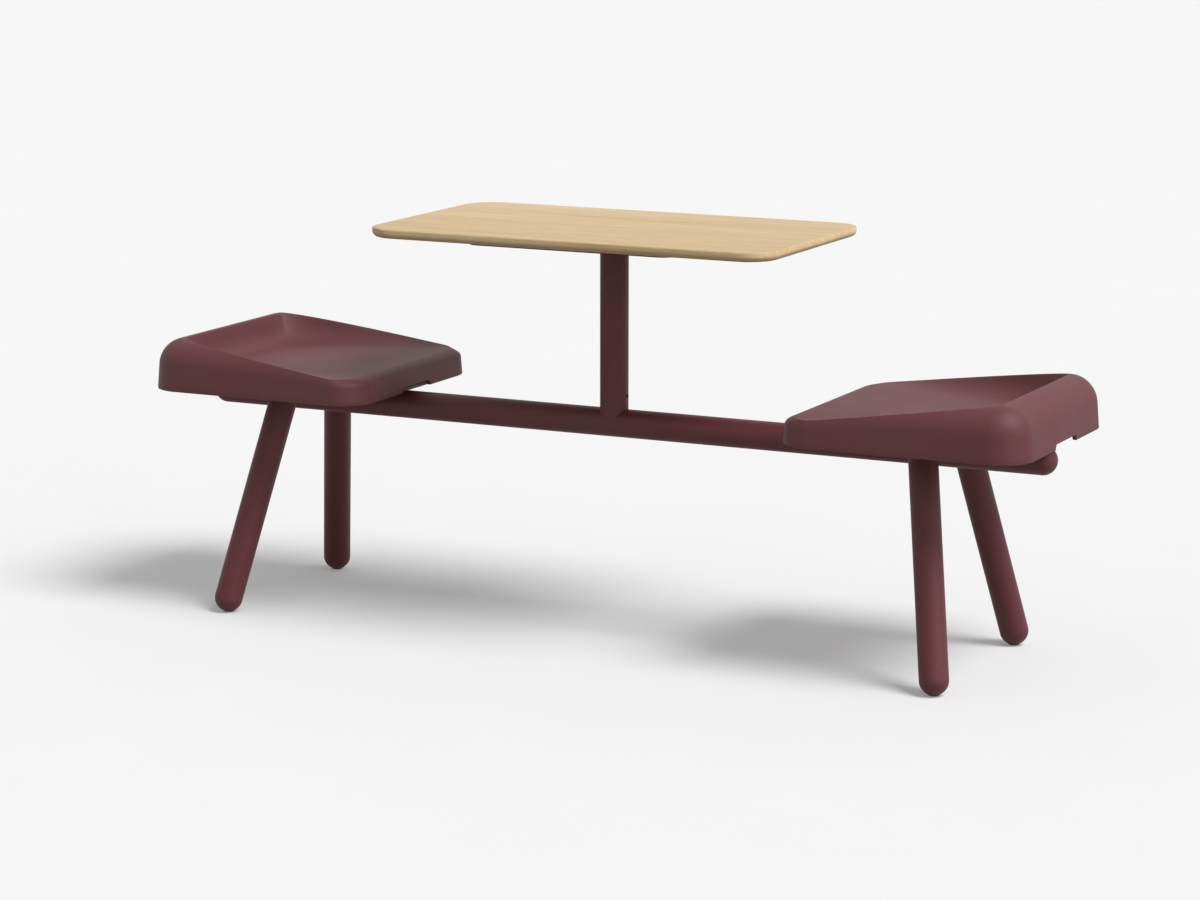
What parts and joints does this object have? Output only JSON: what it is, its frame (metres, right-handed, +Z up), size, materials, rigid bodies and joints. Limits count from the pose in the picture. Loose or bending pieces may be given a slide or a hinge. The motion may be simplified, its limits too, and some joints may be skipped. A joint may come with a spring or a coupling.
{
  "type": "two-seat picnic table bench",
  "caption": "Bench of one level tube on splayed legs, with a moulded dished seat at each end and a lift-off wooden table on a column between them.",
  "frame": {"origin": "on the floor under the column, midway between the seats", "axes": "+X along the beam to the right hand seat, +Y to the back, +Z up"},
  "size_m": [1.691, 0.4474, 0.7289],
  "materials": {
    "frame_paint": "matte",
    "seat_plastic": "matte",
    "glide_plastic": "matte",
    "wood": "satin",
    "zinc_steel": "satin",
    "black_steel": "satin",
    "brass": "satin"
  },
  "bodies": {
    "bench": {"beam_tube": "frame_paint", "beam_end_left": "frame_paint", "beam_end_right": "frame_paint", "column_spigot": "frame_paint", "seat_plate_left": "frame_paint", "beam_saddles_left": "frame_paint", "seat_shell_left": "seat_plastic", "seat_inserts_left": "brass", "seat_washers_left": "zinc_steel", "seat_screws_left": "zinc_steel", "leg_tube_front_left": "frame_paint", "leg_dome_front_left": "frame_paint", "foot_glide_front_left": "glide_plastic", "leg_tube_rear_left": "frame_paint", "leg_dome_rear_left": "frame_paint", "foot_glide_rear_left": "glide_plastic", "seat_plate_right": "frame_paint", "beam_saddles_right": "frame_paint", "seat_shell_right": "seat_plastic", "seat_inserts_right": "brass", "seat_washers_right": "zinc_steel", "seat_screws_right": "zinc_steel", "leg_tube_front_right": "frame_paint", "leg_dome_front_right": "frame_paint", "foot_glide_front_right": "glide_plastic", "leg_tube_rear_right": "frame_paint", "leg_dome_rear_right": "frame_paint", "foot_glide_rear_right": "glide_plastic"},
    "table": {"column_tube": "frame_paint", "column_sleeve": "zinc_steel", "column_stop_disc": "zinc_steel", "table_support_plate": "frame_paint", "tabletop": "wood", "tabletop_inserts": "brass", "tabletop_screws": "zinc_steel"},
    "lock_screw": {"lock_screw": "black_steel"}
  },
  "joints": [
    {"name": "table_lift", "type": "slide", "parent": "bench", "child": "table", "axis": [0, 0, 1], "range_m": [0, 0.16]},
    {"name": "lock_screw_out", "type": "slide", "parent": "table", "child": "lock_screw", "axis": [1, 0, 0], "range_m": [0, 0.0065]}
  ]
}
